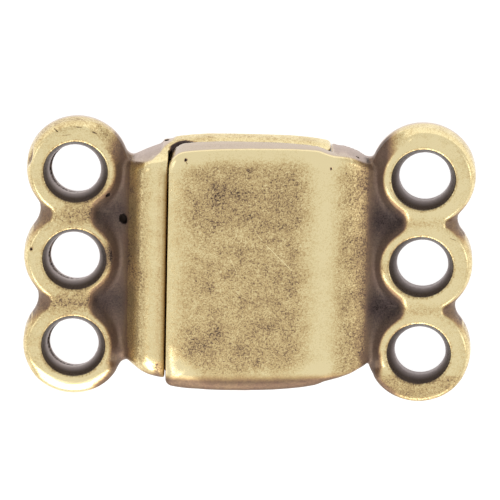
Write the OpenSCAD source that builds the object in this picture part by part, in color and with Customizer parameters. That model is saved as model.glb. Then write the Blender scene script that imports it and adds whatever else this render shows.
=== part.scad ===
// Three-strand magnetic clasp: two cast halves that lap over each other and hold by magnets.
// Millimetres. X runs along the clasp, Y across its strands, Z up through its thickness.
// The origin is under the middle of the clasp, on its flat back.

/* [Strand loops] */
// Distance between neighbouring strand holes
strand_pitch = 5.5; // [5.2:0.1:6.2]
// Distance between the two columns of loops
column_span = 20.6; // [20:0.1:22]
// Outer diameter of a loop on the base half
base_loop_d = 6.05; // [5.8:0.05:6.3]
// Outer diameter of a loop on the cover half
cover_loop_d = 6.25; // [5.8:0.05:6.4]
// Diameter of a strand hole on the straight land half way through the loop
hole_d = 3.05; // [2.4:0.05:3.3]
// Diameter of a strand hole at the face of the loop
hole_mouth_d = 3.85; // [3.5:0.05:4.2]
// Thickness of the loops
loop_t = 1.75; // [1.5:0.05:2]

/* [Plates] */
// Length of the lap, where the cover lies over the base plate
lap_l = 9.4; // [9:0.1:9.8]
// Thickness of the base plate
plate_t = 1.5; // [1.3:0.05:1.6]
// Half of the lap's width, at its middle
lap_half_w = 7.65; // [7.4:0.05:8]
// Height of the cover above the flat back, at its highest
clasp_h = 3.4; // [3.3:0.05:3.8]
// Gap between the two halves, all round
seam = 0.06; // [0.04:0.01:0.1]

/* [Magnets] */
// Diameter of a disc magnet
magnet_d = 3.6; // [2.5:0.1:3.7]
// Thickness of a disc magnet
magnet_t = 0.5; // [0.3:0.05:0.55]
// Distance between neighbouring magnets
magnet_pitch = 4; // [3.9:0.05:4.1]

/* [Hidden] */
$fn = 72;
brass = [0.66, 0.55, 0.36];
nickel = [0.72, 0.72, 0.7];

// The columns stand so that the whole clasp is centred on the origin.
base_r = base_loop_d / 2;
cover_r = cover_loop_d / 2;
base_column_x = -(column_span + cover_r - base_r) / 2;
cover_column_x = base_column_x + column_span;
strands = [-1, 0, 1];

// Steps of the loops' outer surface.
// Columns: height as a share of the loop's thickness, share of the way in from foot to face.
STEP_Z = 0;
STEP_IN = 1;
loop_steps = [
    [0.00, 0.20], [0.06, 0.00], [0.68, 0.00], [0.82, 0.10], [0.92, 0.34], [0.98, 0.70], [1.00, 1.00],
];
// Width of the rounded bevel between a loop's side and its face
loop_bevel = 0.4;
// Half width of the column where two loops meet, at its foot and at its face
notch_foot = 2.05;
notch_face = 1.2;
// Steps in an arc of a loop, and of a hollow
arc_steps = 8;
notch_steps = 5;

// Length of the straight land in a strand hole
hole_land = 0.5;

// Recess in the base plate, and the boss under the cover that keys into it
recess_l = lap_l - 1.6;
recess_w = 2 * lap_half_w - 2.2;
recess_depth = 0.6;
recess_corner = 0.5;
key_gap = 0.1;
magnet_gap = 0.05;
recess_floor = plate_t - recess_depth;
boss_face = recess_floor + 2 * magnet_gap;
// How far a cutter, or a block inside another, runs past the surface it meets
overrun = 0.5;

lap_end = lap_l / 2;
// Outline of the two plates of the lap.
// Columns: distance from the middle, half width.
outline = [
    [0.0, lap_half_w], [1.6, lap_half_w - 0.02], [2.5, lap_half_w - 0.06], [3.4, lap_half_w - 0.13],
    [4.2, lap_half_w - 0.24], [lap_end, lap_half_w - 0.33],
];
function half_width(x) = lookup(abs(x), outline);

// Arm of the base half, from its loops to the lap.
// Columns: distance out from the lap's end, how far the side draws in from lap_half_w,
// height of the top above the loops' face, radius of the top edges.
OUT = 0;
DRAW = 1;
RISE = 2;
ROUND = 3;
base_arm = [
    [4.20, 1.05, -0.75, 0.30], [3.50, 1.23, -0.70, 0.30], [3.05, 1.40, -0.65, 0.30],
    [2.65, 1.45, -0.43, 0.35], [2.35, 1.39, 0.00, 0.50], [2.00, 1.23, 0.55, 0.60],
    [1.60, 1.03, 1.03, 0.60], [1.20, 0.85, 1.22, 0.60], [0.70, 0.65, 1.24, 0.65],
    [0.30, 0.51, 1.20, 0.70], [0.00, 0.43, 0.95, 0.70],
];
// Arm of the cover half, from the lap to its loops. Columns as above.
cover_arm = [
    [seam, 0.38, 0.75, 0.50], [0.60, 0.52, 0.59, 0.50], [1.10, 0.71, 0.41, 0.50],
    [1.60, 0.93, 0.18, 0.45], [2.10, 1.18, -0.11, 0.40], [2.50, 1.35, -0.42, 0.35],
    [2.80, 1.41, -0.61, 0.30], [3.20, 1.37, -0.70, 0.30], [3.70, 1.23, -0.73, 0.30],
    [4.20, 1.05, -0.75, 0.30],
];
// Plate of the cover half, from its free end towards its arm.
// Columns: distance in from the lap's end, how far the side draws in from the outline,
// depth of the top below clasp_h, radius of the top edges.
cover_plate = [
    [seam, 0.40, 0.50, 0.30], [0.20, 0.04, 0.22, 0.45], [0.50, 0.00, 0.07, 0.55],
    [1.10, 0.00, 0.00, 0.60], [3.50, 0.00, 0.12, 0.60], [6.00, 0.00, 0.32, 0.60],
    [8.00, 0.00, 0.62, 0.55],
];
// Places along the base plate where its sections stand
plate_stations = [-0.68, -0.34, 0, 0.34, 0.68, 0.9];
// How far the far corners of the base plate draw in, and its far edge falls
corner_in = 0.15;
far_edge_fall = 0.1;
// Length of the step from an arm to a plate
end_step = 0.01;
// Radius of the edges that lie on the flat back
back_round = 0.15;
// Radius of the base plate's upper edge, which shows beside the cover
plate_round = 0.4;
// Rise of the top towards its middle line
crown = 0.06;
// The base plate is a little hollow instead, clear of the cover
plate_rise = -0.01;
// Steps in a rounded edge, on top and on the back
edge_steps = 5;
back_steps = 2;

// Points of an arc from angle a to angle b, in degrees
function arc(centre, r, a, b, steps) = [
    for (i = [0 : steps]) centre + r * [cos(a + (b - a) * i / steps), sin(a + (b - a) * i / steps)]
];

// Closed outline from one half, which starts on the line it is mirrored in
function mirrored(half) = concat(
    half,
    [for (i = [len(half) - 1 : -1 : 1]) if (abs(half[i][0]) > 0.001) [-half[i][0], half[i][1]]]
);

// One cross section of a plate or arm, across the clasp at x: a rectangle with rounded edges,
// whose top rises towards the middle
function section(x, w, low, high, top_r, low_r, rise = crown) = [
    for (p = mirrored(concat(
        [[0, high + rise]],
        arc([top_r - w, high - top_r], top_r, 90, 180, edge_steps),
        arc([low_r - w, low + low_r], low_r, 180, 270, back_steps)
    ))) [x, p[0], p[1]]
];

// Closed solid through a list of sections that have equally many points. Each section is
// symmetric about its first point, so its end caps are strips from side to side.
module loft(sections) {
    n = len(sections[0]);
    pairs = floor((n - 1) / 2);
    last = len(sections) - 1;
    cap = concat(
        [[0, 1, n - 1]],
        [for (j = [1 : pairs - 1]) each [[j, j + 1, n - j - 1], [j, n - j - 1, n - j]]],
        n % 2 == 0 ? [[pairs, pairs + 1, pairs + 2]] : []
    );
    polyhedron(
        points = [for (s = sections) each s],
        faces = concat(
            cap,
            [for (i = [0 : last - 1], j = [0 : n - 1]) each [
                [i * n + j, (i + 1) * n + (j + 1) % n, i * n + (j + 1) % n],
                [i * n + j, (i + 1) * n + j, (i + 1) * n + (j + 1) % n],
            ]],
            [for (t = cap) [last * n + t[2], last * n + t[1], last * n + t[0]]]
        ),
        convexity = 6
    );
}

// Radius of the hollow between two loops of radius r that leaves the column the given half width
function notch_radius(r, half_w) =
    (half_w * half_w + strand_pitch * strand_pitch / 4 - r * r) / (2 * (r - half_w));

// Outline of a column of three loops, with the hollows between them
function column_outline(r, half_w) =
    let (
        p = strand_pitch,
        f = notch_radius(r, half_w),
        h = half_w + f,
        b = atan2(p / 2, h)
    )
    mirrored(concat(
        arc([0, -p], r, -90, b, 2 * arc_steps),
        past_first(arc([h, -p / 2], f, 180 + b, 180 - b, notch_steps)),
        past_first(arc([0, 0], r, -b, b, arc_steps)),
        past_first(arc([h, p / 2], f, 180 + b, 180 - b, notch_steps)),
        past_first(arc([0, p], r, -b, 90, 2 * arc_steps))
    ));

// An arc without the first point, where the arc before it already ends
function past_first(points) = [for (i = [1 : len(points) - 1]) points[i]];

// Three loops in a column, solid, with their rounded bevels and the sloped hollows between them
module loop_column(x, r) {
    loft([
        for (s = loop_steps)
            let (share = s[STEP_IN])
            [for (p = column_outline(
                r - loop_bevel * share,
                notch_foot + (notch_face - notch_foot) * share
            )) [x + p[0], p[1], loop_t * s[STEP_Z]]]
    ]);
}

// Strand hole: a short straight land half way, opening towards both faces
module strand_hole() {
    r = hole_d / 2;
    mouth = (loop_t - hole_land) / 2;
    past_r = r + (hole_mouth_d / 2 - r) * (1 + overrun / mouth);
    rotate_extrude()
        polygon([
            [0, -overrun], [past_r, -overrun], [r, mouth],
            [r, loop_t - mouth], [past_r, loop_t + overrun], [0, loop_t + overrun],
        ]);
}

// The three strand holes of a column at x
module strand_holes(x) {
    for (s = strands)
        translate([x, s * strand_pitch, 0])
            strand_hole();
}

// Block with rounded corners seen from above, between two heights
module key_block(l, w, low, high) {
    r = recess_corner;
    translate([0, 0, low])
        linear_extrude(high - low)
            union() {
                square([l, w - 2 * r], center = true);
                square([l - 2 * r, w], center = true);
                for (sx = [-1, 1], sy = [-1, 1])
                    translate([sx * (l / 2 - r), sy * (w / 2 - r)])
                        circle(r);
            }
}

// Place of magnet 1, 2 or 3 along the clasp's width
module at_magnet(i) {
    translate([0, (i - 2) * magnet_pitch, 0])
        children();
}

// Section of an arm, from a row of its table, on the side of the clasp that x_sign gives
function arm_section(row, x_sign) = section(
    x_sign * (lap_end + row[OUT]), lap_half_w - row[DRAW], 0, loop_t + row[RISE], row[ROUND], back_round
);

// Section of the base plate at x, drawn in and lowered by the given amounts
function plate_section(x, draw = 0, fall = 0) =
    section(x, half_width(x) - draw, 0, plate_t - fall, plate_round, back_round, plate_rise);

// Section of the cover plate at x, from its underside to the given top
function cover_section(x, draw, top, top_r) =
    section(x, half_width(x) - draw, plate_t + seam, top, top_r, back_round);

// Base half: loops, arm, and the plate that lies under the cover
module base_half() {
    color(brass)
        difference() {
            union() {
                loop_column(base_column_x, base_r);
                loft(concat(
                    [for (row = base_arm) arm_section(row, -1)],
                    [plate_section(end_step - lap_end)],
                    [for (share = plate_stations) plate_section(share * lap_end)],
                    [plate_section(lap_end, corner_in, far_edge_fall)]
                ));
            }
            strand_holes(base_column_x);
            key_block(recess_l, recess_w, recess_floor, plate_t + overrun);
            for (i = [1 : 3])
                at_magnet(i)
                    translate([0, 0, recess_floor - magnet_t])
                        cylinder(d = magnet_d + 2 * magnet_gap, h = magnet_t + overrun);
        }
}

// Cover half: loops, arm, and the plate with a boss that keys into the base's recess
module cover_half() {
    first = cover_arm[0];
    color(brass)
        difference() {
            union() {
                loop_column(cover_column_x, cover_r);
                loft(concat(
                    [for (row = cover_plate)
                        cover_section(row[OUT] - lap_end, row[DRAW], clasp_h - row[RISE], row[ROUND])],
                    [cover_section(lap_end + first[OUT] - end_step, 0, loop_t + first[RISE], first[ROUND])],
                    [for (row = cover_arm) arm_section(row, 1)]
                ));
                key_block(recess_l - 2 * key_gap, recess_w - 2 * key_gap, boss_face, plate_t + overrun);
            }
            strand_holes(cover_column_x);
            for (i = [1 : 3])
                at_magnet(i)
                    translate([0, 0, boss_face - overrun])
                        cylinder(d = magnet_d + 2 * magnet_gap, h = magnet_t + magnet_gap + overrun);
        }
}

// Disc magnet in the floor of the base's recess
module base_magnet(i) {
    color(nickel)
        at_magnet(i)
            translate([0, 0, recess_floor - magnet_t + magnet_gap])
                cylinder(d = magnet_d, h = magnet_t - magnet_gap);
}

// Disc magnet in the face of the cover's boss
module cover_magnet(i) {
    color(nickel)
        at_magnet(i)
            translate([0, 0, boss_face])
                cylinder(d = magnet_d, h = magnet_t);
}

base_half();
base_magnet(1);  // base_magnet_1
base_magnet(2);  // base_magnet_2
base_magnet(3);  // base_magnet_3
cover_half();
cover_magnet(1);  // cover_magnet_1
cover_magnet(2);  // cover_magnet_2
cover_magnet(3);  // cover_magnet_3
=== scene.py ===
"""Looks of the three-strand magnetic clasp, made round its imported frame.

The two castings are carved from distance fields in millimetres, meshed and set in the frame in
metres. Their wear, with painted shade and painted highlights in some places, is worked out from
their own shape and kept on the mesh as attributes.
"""

import math
from types import SimpleNamespace

import bpy
import numpy as np
from mathutils import Matrix, Vector


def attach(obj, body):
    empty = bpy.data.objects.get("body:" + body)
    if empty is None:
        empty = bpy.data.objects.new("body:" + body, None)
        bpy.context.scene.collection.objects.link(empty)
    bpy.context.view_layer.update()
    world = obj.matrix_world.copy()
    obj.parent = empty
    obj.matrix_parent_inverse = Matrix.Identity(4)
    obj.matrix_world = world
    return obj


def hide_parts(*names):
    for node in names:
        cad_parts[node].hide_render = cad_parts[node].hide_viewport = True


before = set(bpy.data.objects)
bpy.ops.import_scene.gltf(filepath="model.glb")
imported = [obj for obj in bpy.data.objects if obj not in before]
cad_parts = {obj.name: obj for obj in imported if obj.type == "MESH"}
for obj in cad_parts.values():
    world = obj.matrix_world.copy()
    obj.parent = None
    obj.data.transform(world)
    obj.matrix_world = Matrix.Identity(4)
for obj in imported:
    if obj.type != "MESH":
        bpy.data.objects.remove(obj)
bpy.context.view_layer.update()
MM = 0.001

# Sizes of the clasp in millimetres, as the part's source has them.
STRAND_PITCH = 5.5
LOOP_T = 1.75
HOLE_R = 1.525
MOUTH_R = 1.925
HOLE_LAND = 0.5
# How much shorter the way to a flared wall is than it looks straight across the hole.
FLARE_SLOPE = 0.85
LAP_END = 4.7
PLATE_T = 1.5
SEAM = 0.06
RECESS_FLOOR = 0.9
BOSS_FACE = 1.0
RECESS_HALF = (3.9, 6.55)
KEY_CORNER = 0.5
KEY_GAP = 0.1
MAGNET_R = 1.8
MAGNET_T = 0.5
MAGNET_PITCH = 4.0
MAGNET_GAP = 0.05
MAGNET_EDGE = 0.12
CROWN = 0.055

# Ends of the base's arm and of the cover, either side of the seam.
ARM_END = -4.86
COVER_END = -4.82
# Where one form ends inside another: the arms in their loops, the plate in the base's arm, and the
# boss in the cover, by its height above the plate.
BASE_ARM_ROOT = -9.9
COVER_ARM_ROOT = 9.8
PLATE_ROOT = -5.1
BOSS_ROOT = 0.5
# How far the castings sit off their true places across the strands.
BASE_ARM_SHIFT = -0.11
COVER_ARM_SHIFT = -0.08

# Rounded edges: how far the rounding reaches across the top, then down the side.
LOOP_EDGE = (0.45, 0.8)
LOOP_BEVEL = (0.88, 0.78)
COVER_EDGE = (0.68, 0.4)
COVER_ARM_EDGE = (0.35, 0.35)
PLATE_EDGE = (0.4, 0.8)
# Rounded edges: radius. Of the cover's corners by the seam, the one at +Y comes first.
BEVEL_ROUND = 0.15
BACK_ROUND = 0.15
LIP_ROUND = 0.065
ARM_END_ROUND = 0.14
PLATE_CORNER = 0.3
COVER_CORNERS = (0.95, 0.38)
UNDER_ROUND = 0.05
RECESS_ROUND = 0.06
BOSS_ROUND = 0.08
POCKET_ROUND = 0.04
# Hollow fillets between loops and arm, low down and at the face, and between arm and plate.
FILLET_LOW = 0.5
FILLET_HIGH = 0.16
PLATE_FILLET = 0.08
# Half width of a loop column between two loops: at the back, and at the face outside and inside.
NOTCH_FOOT = 2.15
NOTCH_FACE_OUT = 1.6
NOTCH_FACE_IN = 1.45

# What differs between the halves:
# lean: how far each loop sits off its hole along X, then along Y, from the loop at -Y to that at +Y;
# hole_shift: how far the upper and the lower half of each hole miss its place along X;
# front_edge: how much further the rounding of the loop at -Y reaches, across and down;
# marks: casting pits, dents and nicks, by centre and radius of the ball that cuts each;
# bands: stripes across the clasp that the wheel has polished, by middle, half width and strength;
# dull: places that it missed, by middle, radius and strength; a negative strength is a painted highlight;
# flank_tone: how dark the slopes between loops and arm are.
BASE = SimpleNamespace(
    column_x=-10.35, loop_r=3.025,
    lean=((0.0, 0.0, 0.11), (-0.09, 0.0, 0.02)),
    hole_shift=(-0.05, 0.12),
    front_edge=(0.6, -0.35),
    marks=[
        (-7.52, 2.5, 1.35, 0.28), (-8.42, 4.05, 1.52, 0.11), (-13.86, 6.4, 1.1, 0.98),
        (-13.75, 5.35, 1.9, 0.5), (-5.0, 7.17, 0.35, 0.12), (-12.94, 0.6, 1.74, 0.07),
        (-5.32, -6.1, 3.0, 0.06),
    ],
    bands=[(-5.6, 0.4, 0.9), (-10.6, 1.0, 0.15)],
    dull=[
        (-10.3, 2.85, 1.0, 1.1), (-9.2, 3.5, 0.8, 1.8), (-8.5, 4.3, 0.6, 1.2), (-13.6, 6.0, 0.5, 1.6),
        (-10.4, -2.6, 1.0, 1.1), (-9.1, -2.2, 0.8, 1.5), (-8.3, 0.3, 0.75, 5.0), (-8.3, -5.2, 0.6, 1.5),
        # The last spot, of negative strength, is a painted highlight on the -Y loop's rounding.
        (-10.6, -8.0, 1.3, -1.2),
    ],
    flank_tone=0.81,
)
COVER = SimpleNamespace(
    column_x=10.25, loop_r=3.125,
    lean=((0.0, -0.05, 0.0), (0.0, 0.0, -0.03)),
    hole_shift=(0.11, 0.12),
    front_edge=(-0.13, -0.36),
    marks=[
        (6.3, 6.62, 1.2, 0.1), (4.75, 6.36, 2.44, 0.06), (13.55, 7.6, 1.3, 0.75),
        (-3.82, 7.0, 3.35, 0.06),
    ],
    bands=[(4.4, 0.95, 1.4), (-4.3, 1.3, 0.55), (6.2, 0.8, -0.3), (10.6, 1.9, 0.6)],
    dull=[
        (-2.0, 4.4, 1.9, 0.5), (-1.9, -4.9, 2.1, 0.7), (1.2, 3.4, 1.5, 0.4), (0.6, -1.8, 1.6, 0.3),
        # The last spot, of negative strength, is a painted highlight on the cover's -Y corner by the seam.
        (10.2, 2.75, 0.7, 0.2), (10.1, -2.75, 0.7, 0.3), (7.85, -0.2, 0.4, 2.0), (-4.1, -6.5, 0.8, -2.0),
    ],
    flank_tone=0.84,
)


def smooth_line(stations, values, blur):
    """A line through a table's points with its corners smoothed over the given length."""
    step = 0.02
    fine = np.arange(stations[0] - 2, stations[-1] + 2, step)
    window = np.hanning(max(int(blur / step), 1) + 2)
    drawn = np.interp(fine, stations, values)
    padded = np.pad(drawn, len(window), mode="edge")
    smooth = np.convolve(padded, window / window.sum(), mode="same")
    return fine, smooth[len(window):-len(window)]


# Half width of the lap, by distance from its middle.
LAP_OUTLINE = smooth_line(
    [0.0, 1.6, 2.5, 3.4, 4.2, 4.7],
    [7.65, 7.63, 7.59, 7.52, 7.41, 7.32], 0.6)

# Arms, by distance out from the end of the lap: half width, height of the top, edge radius.
BASE_OUT = [0.0, 0.3, 0.7, 1.2, 1.6, 2.0, 2.35, 2.65, 3.05, 3.5, 4.2]
BASE_ARM_W = smooth_line(BASE_OUT, [7.22, 7.14, 7.0, 6.8, 6.62, 6.42, 6.26, 6.2, 6.25, 6.42, 6.6], 0.7)
BASE_ARM_TOP = smooth_line(BASE_OUT, [2.9, 2.95, 2.99, 2.97, 2.78, 2.3, 1.75, 1.32, 1.1, 1.05, 1.0], 0.6)
BASE_ARM_ROUND = smooth_line(BASE_OUT, [0.6, 0.6, 0.6, 0.6, 0.6, 0.6, 0.55, 0.5, 0.4, 0.35, 0.3], 0.5)
COVER_OUT = [0.06, 0.6, 1.1, 1.6, 2.1, 2.6, 3.1, 3.7, 4.2]
COVER_ARM_W = smooth_line(COVER_OUT, [7.12, 7.1, 7.0, 6.79, 6.48, 6.17, 6.18, 6.35, 6.55], 0.6)
# How much further each arm reaches on its -Y side: the base's by distance out from the end of the
# lap, the cover's by its place along the clasp.
BASE_ARM_TRIM = (
    [0, 0.5, 1.2, 2.0, 2.6, 3.2],
    [-0.15, -0.07, 0.02, 0.06, 0.1, 0.0])
COVER_ARM_TRIM = (
    [3.9, 4.4, 4.9, 5.3, 5.8, 6.3, 6.6, 7.0],
    [0, 0.05, 0, -0.09, -0.11, -0.04, 0, 0.09])
# Top of the whole cover half, by its place along the clasp.
COVER_TOP = smooth_line(
    [-4.7, -3.6, -1.2, 1.3, 3.3, 4.76, 5.3, 5.8, 6.3, 6.8, 7.2, 7.5, 7.9, 8.4, 8.9],
    [3.4, 3.4, 3.28, 3.08, 2.8, 2.5, 2.34, 2.16, 1.93, 1.64, 1.33, 1.14, 1.05, 1.02, 1.0], 0.7)


def rounded_meet(a, b, r):
    """Inside both solids, with an outer edge of radius r where they meet."""
    return np.minimum(np.maximum(a, b), -r) + np.hypot(np.maximum(a + r, 0), np.maximum(b + r, 0))


def filleted_join(a, b, r):
    """Inside either solid, with a hollow fillet of radius r where they meet."""
    return np.maximum(np.minimum(a, b), r) - np.hypot(np.maximum(r - a, 0), np.maximum(r - b, 0))


def oval_meet(side, top, across, down):
    """Inside both solids, with an outer edge that reaches this far across the top and down the side."""
    u = np.maximum(side / across + 1, 0)
    v = np.maximum(top / down + 1, 0)
    scale = (u * across + v * down) / np.maximum(u + v, 1e-6)
    return np.where(u + v > 0, (np.hypot(u, v) - 1) * scale, np.maximum(side, top))


def bevelled_meet(side, top, across, down, soft):
    """Inside both solids, with a straight bevel whose upper edge is softened."""
    slant = (side * down + top * across + across * down) / math.hypot(across, down)
    return np.maximum(rounded_meet(slant, top, soft), side)


def ramp(value, low, high):
    """0 below low, 1 above high, smooth in between."""
    t = np.clip((value - low) / (high - low), 0, 1)
    return t * t * (3 - 2 * t)


def fall(value, low, high):
    """1 below low, 0 above high, smooth in between."""
    return ramp(-value, -high, -low)


def near_to(value, middle, inner, outer):
    """1 within the inner distance of the middle, 0 beyond the outer one, smooth in between."""
    return fall(np.abs(value - middle), inner, outer)


def nearest_of_three(y, pitch):
    """Place of the nearest of three things that stand this far apart across the clasp."""
    return pitch * np.clip(np.round(y / pitch), -1, 1)


def column_outline(u, v, r, half_w):
    """Distance from the outline of a column of three loops and the hollows between them."""
    half_pitch = STRAND_PITCH / 2
    hollow_r = (half_w ** 2 + half_pitch ** 2 - r ** 2) / (2 * (r - half_w))
    h = half_w + hollow_r
    w = np.where(v < STRAND_PITCH, half_pitch - np.abs(v - half_pitch), v - STRAND_PITCH)
    loop = np.hypot(u, w) - r
    hollow = hollow_r - np.hypot(u - h, w - half_pitch)
    in_hollow = (v < STRAND_PITCH) & (w * h > u * half_pitch) & (u < h)
    return np.where(in_hollow, hollow, loop)


def loop_column(x, y, z, half):
    """Three strand loops: rounded outside, bevelled towards the arm, with sloping hollows between."""
    strands = (-STRAND_PITCH, 0, STRAND_PITCH)
    off_x = x - half.column_x - np.interp(y, strands, half.lean[0])
    u = np.abs(off_x)
    v = np.abs(y - np.interp(y, strands, half.lean[1]))
    foot = column_outline(u, v, half.loop_r, NOTCH_FOOT)
    outer = column_outline(u, v, half.loop_r, NOTCH_FACE_OUT)
    inner = column_outline(u, v, half.loop_r, NOTCH_FACE_IN)
    face = np.where(off_x * half.column_x > 0, outer, inner)
    side = foot + (face - foot) * ramp(z, 0.3 * LOOP_T, LOOP_T)
    past_last = -(y + STRAND_PITCH)
    at_front = ramp(past_last, 0.8, 2.4)
    across = LOOP_EDGE[0] + half.front_edge[0] * at_front
    down = LOOP_EDGE[1] + half.front_edge[1] * at_front
    rounded = oval_meet(side, z - LOOP_T, across, down)
    bevelled = bevelled_meet(side, z - LOOP_T, *LOOP_BEVEL, BEVEL_ROUND)
    towards_arm = -off_x * np.sign(half.column_x) - 2.2 * ramp(past_last, 0.3, 1.8)
    column = rounded + (bevelled - rounded) * ramp(towards_arm, 0.3, 1.5)
    return rounded_meet(column, -z, BACK_ROUND)


def strand_holes(x, y, z, half):
    """Three holes that open towards both faces. Their upper and lower halves miss each other a little."""
    middle = LOOP_T / 2
    depth = np.abs(z - middle) - HOLE_LAND / 2
    flare = (MOUTH_R - HOLE_R) / ((LOOP_T - HOLE_LAND) / 2)
    radius = HOLE_R + flare * np.maximum(depth, 0)
    v = y - nearest_of_three(y, STRAND_PITCH)
    towards_face = np.clip((z - middle) / middle, 0, 1)
    upper_shift, lower_shift = half.hole_shift
    upper = np.hypot(x - half.column_x - upper_shift * (1 - towards_face), v) - radius
    lower = np.hypot(x - half.column_x - lower_shift, v) - radius
    hole = np.minimum(np.maximum(upper, middle - z), np.maximum(lower, z - middle))
    return hole * FLARE_SLOPE


def with_loops(body, x, y, z, half, more_fillet=0):
    """A half's body joined to its loops by hollow fillets, flat on its back, with the holes cut."""
    column = loop_column(x, y, z, half)
    fillet = FILLET_LOW + (FILLET_HIGH - FILLET_LOW) * ramp(z, 0.4, 1.0) + more_fillet
    joined = np.maximum(filleted_join(body, column, fillet), -z)
    return rounded_meet(joined, -strand_holes(x, y, z, half), LIP_ROUND)


def key_block(x, y, half_l, half_w, corner):
    """Distance from a block with rounded corners, seen from above."""
    qx = np.abs(x) - half_l + corner
    qy = np.abs(y) - half_w + corner
    return np.minimum(np.maximum(qx, qy), 0) + np.hypot(np.maximum(qx, 0), np.maximum(qy, 0)) - corner


def magnet_pockets(x, y):
    """Distance from the three magnet pockets, seen from above."""
    v = y - nearest_of_three(y, MAGNET_PITCH)
    return np.hypot(x, v) - (MAGNET_R + MAGNET_GAP)


def crowned(height, y, half_w):
    """A top's height, raised towards its middle line."""
    return height + CROWN * (1 - np.minimum(np.abs(y) / half_w, 1) ** 2)


def ball(x, y, z, mark):
    """Distance from a mark's ball."""
    mark_x, mark_y, mark_z, r = mark
    return np.sqrt((x - mark_x) ** 2 + (y - mark_y) ** 2 + (z - mark_z) ** 2) - r


def cut_marks(solid, x, y, z, marks):
    """Takes each mark's ball out of the solid, with a soft rim."""
    for mark in marks:
        solid = rounded_meet(solid, -ball(x, y, z, mark), 0.2 * mark[3])
    return solid


def base_half(x, y, z):
    """Distance from the base half: loops, arm, and the plate that lies under the cover."""
    out = -LAP_END - x
    arm_w = np.interp(out, *BASE_ARM_W) + np.interp(out, *BASE_ARM_TRIM) * fall(y, -1, 0)
    past = np.abs(y - BASE_ARM_SHIFT) - arm_w
    arm_top = z - crowned(np.interp(out, *BASE_ARM_TOP), y, arm_w)
    reach = np.interp(out, *BASE_ARM_ROUND)
    # Rubbed rounder at the -Y corner by the seam, and drawn down at the +Y one.
    low_corner = ramp(-y - arm_w, -2.2, -1.2) * fall(out, 1.2, 2.2)
    high_corner = ramp(y, 5.0, 6.2) * fall(out, 0.2, 1.5)
    across = reach + 0.9 * low_corner
    down = reach + 0.85 * high_corner + 0.12 * low_corner
    arm = oval_meet(past, arm_top, across, down)
    arm = rounded_meet(arm, x - ARM_END, ARM_END_ROUND - 0.06 * ramp(y, 4.6, 5.8))
    arm = np.maximum(arm, BASE_ARM_ROOT - x)

    half_w = np.interp(np.abs(x), *LAP_OUTLINE)
    neck_w = 7.14 + 0.45 * np.clip((x - ARM_END) / 0.8, 0, 1)
    half_w = np.minimum(half_w, neck_w) + 0.03 * fall(np.abs(x), 0, 3.0)
    plate_end = x - LAP_END - 0.04 * ramp(y, 6.2, 6.8)
    plate_side = rounded_meet(np.abs(y) - half_w, plate_end, PLATE_CORNER)
    plate_top = z - PLATE_T + 0.1 * ramp(x, 4.2, LAP_END)
    plate = np.maximum(oval_meet(plate_side, plate_top, *PLATE_EDGE), PLATE_ROOT - x)
    body = filleted_join(arm, plate, PLATE_FILLET + 0.3 * ramp(y, 6.5, 7.0))
    body = rounded_meet(body, -z, BACK_ROUND)
    made = with_loops(body, x, y, z, BASE, 0.35 * fall(y, -6.0, -5.3))

    recess = np.maximum(key_block(x, y, *RECESS_HALF, KEY_CORNER), RECESS_FLOOR - z)
    made = rounded_meet(made, -recess, RECESS_ROUND)
    pockets = np.maximum(magnet_pockets(x, y), RECESS_FLOOR - MAGNET_T - z)
    made = rounded_meet(made, -pockets, POCKET_ROUND)
    return cut_marks(made, x, y, z, BASE.marks)


def cover_half(x, y, z):
    """Distance from the cover half: loops, arm, and the plate with its keyed boss."""
    low_corner = fall(x, -4.0, -2.6) * fall(y, -6.0, -4.6)
    lap_w = np.interp(np.abs(x), *LAP_OUTLINE)
    arm_w = np.interp(x - LAP_END, *COVER_ARM_W)
    trim = np.interp(x, *COVER_ARM_TRIM) * fall(y, -1, 0)
    half_w = lap_w + (arm_w - lap_w) * ramp(x, 3.9, 5.1) + 0.1 * low_corner + trim
    on_arm = ramp(x, 3.5, 6.0)
    by_seam = fall(x, -3.7, -2.2) * (1 - ramp(y, 4.6, 6.4))
    across = COVER_EDGE[0] + (COVER_ARM_EDGE[0] - COVER_EDGE[0]) * on_arm
    across = across + 0.4 * by_seam + 0.4 * low_corner
    down = COVER_EDGE[1] + (COVER_ARM_EDGE[1] - COVER_EDGE[1]) * on_arm
    down = down + 0.06 * by_seam + 0.15 * low_corner
    beside = np.abs(y - COVER_ARM_SHIFT * ramp(x, 4.4, 5.4)) - half_w
    behind = COVER_END - x
    side = rounded_meet(beside, behind, np.where(y > 0, *COVER_CORNERS))
    # Inside the -Y corner the crease between its two sides is smoothed away.
    soft = 1.1 * np.clip(-side / 1.5, 0, 1) * fall(x, -3.4, -2.0) * fall(y, -5.4, -4.0)
    side += 0.5 * (np.hypot(beside - behind, soft) - np.abs(beside - behind))
    # Along the seam the top's rounding is cut off short of the side, which leaves a crisp edge.
    cut = 0.12 * fall(x, -4.2, -3.6) * fall(np.abs(y), 5.8, 6.6)
    top = z - crowned(np.interp(x, *COVER_TOP), y, half_w)
    shell = np.maximum(oval_meet(side - cut, top, across + cut, down), side)
    shell = np.maximum(shell, x - COVER_ARM_ROOT)
    under = np.minimum(PLATE_T + SEAM - z, LAP_END + SEAM - x)
    shell = rounded_meet(shell, np.maximum(under, -z), UNDER_ROUND)
    made = with_loops(shell, x, y, z, COVER)

    boss = key_block(x, y, RECESS_HALF[0] - KEY_GAP, RECESS_HALF[1] - KEY_GAP, KEY_CORNER)
    boss = rounded_meet(boss, BOSS_FACE - z, BOSS_ROUND)
    made = np.minimum(made, np.maximum(boss, z - PLATE_T - BOSS_ROOT))
    pockets = np.maximum(magnet_pockets(x, y), z - BOSS_FACE - MAGNET_T - MAGNET_GAP)
    made = rounded_meet(made, -pockets, POCKET_ROUND)
    return cut_marks(made, x, y, z, COVER.marks)


# Meshing: slices worked out together, and the furthest in millimetres that one step moves a point.
SLAB = 24
LONGEST_STEP = 0.06


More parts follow.
